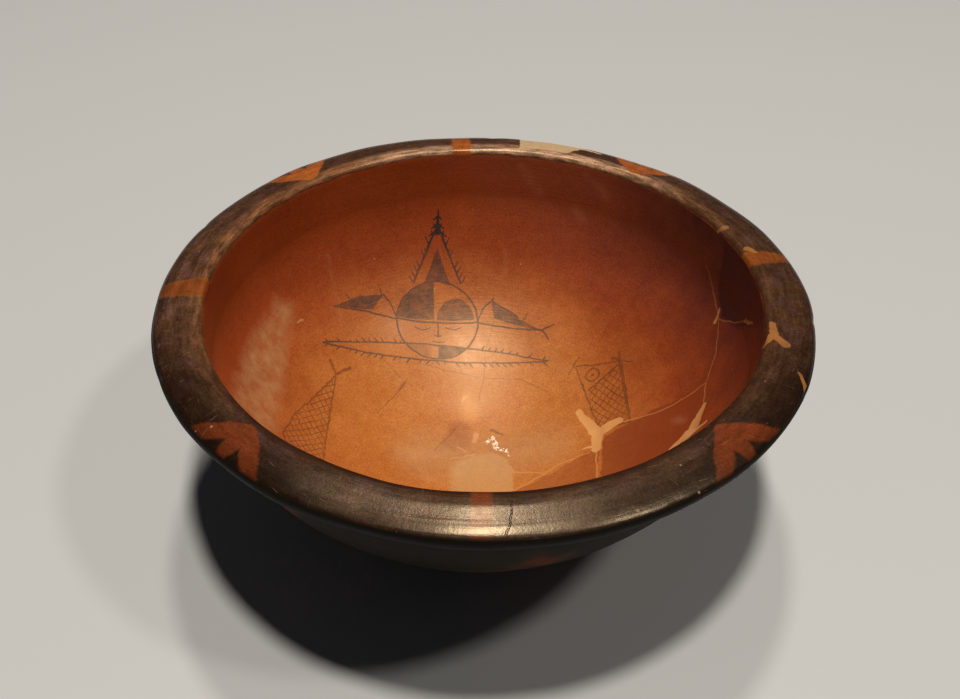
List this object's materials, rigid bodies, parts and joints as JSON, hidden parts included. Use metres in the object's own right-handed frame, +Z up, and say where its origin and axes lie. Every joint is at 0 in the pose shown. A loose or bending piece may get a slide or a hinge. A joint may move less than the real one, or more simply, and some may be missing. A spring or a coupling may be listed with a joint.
{
  "type": "painted pottery bowl",
  "caption": "Wide hand-made bowl of burnished red clay with a rolled-out, dark painted lip, a painted inside and a small flat base.",
  "frame": {"origin": "centre of the flat base, on the surface the bowl stands on", "axes": "+Z up along the bowl's own axis, -Y towards the viewer who sees the painted head upright on the far wall, +X to that viewer's right"},
  "size_m": [0.3987, 0.3971, 0.165],
  "materials": {
    "painted_clay": "burnished red clay, satin, with black-brown paint on the lip and inside"
  },
  "bodies": {
    "root": {"bowl": "painted_clay"}
  },
  "joints": []
}
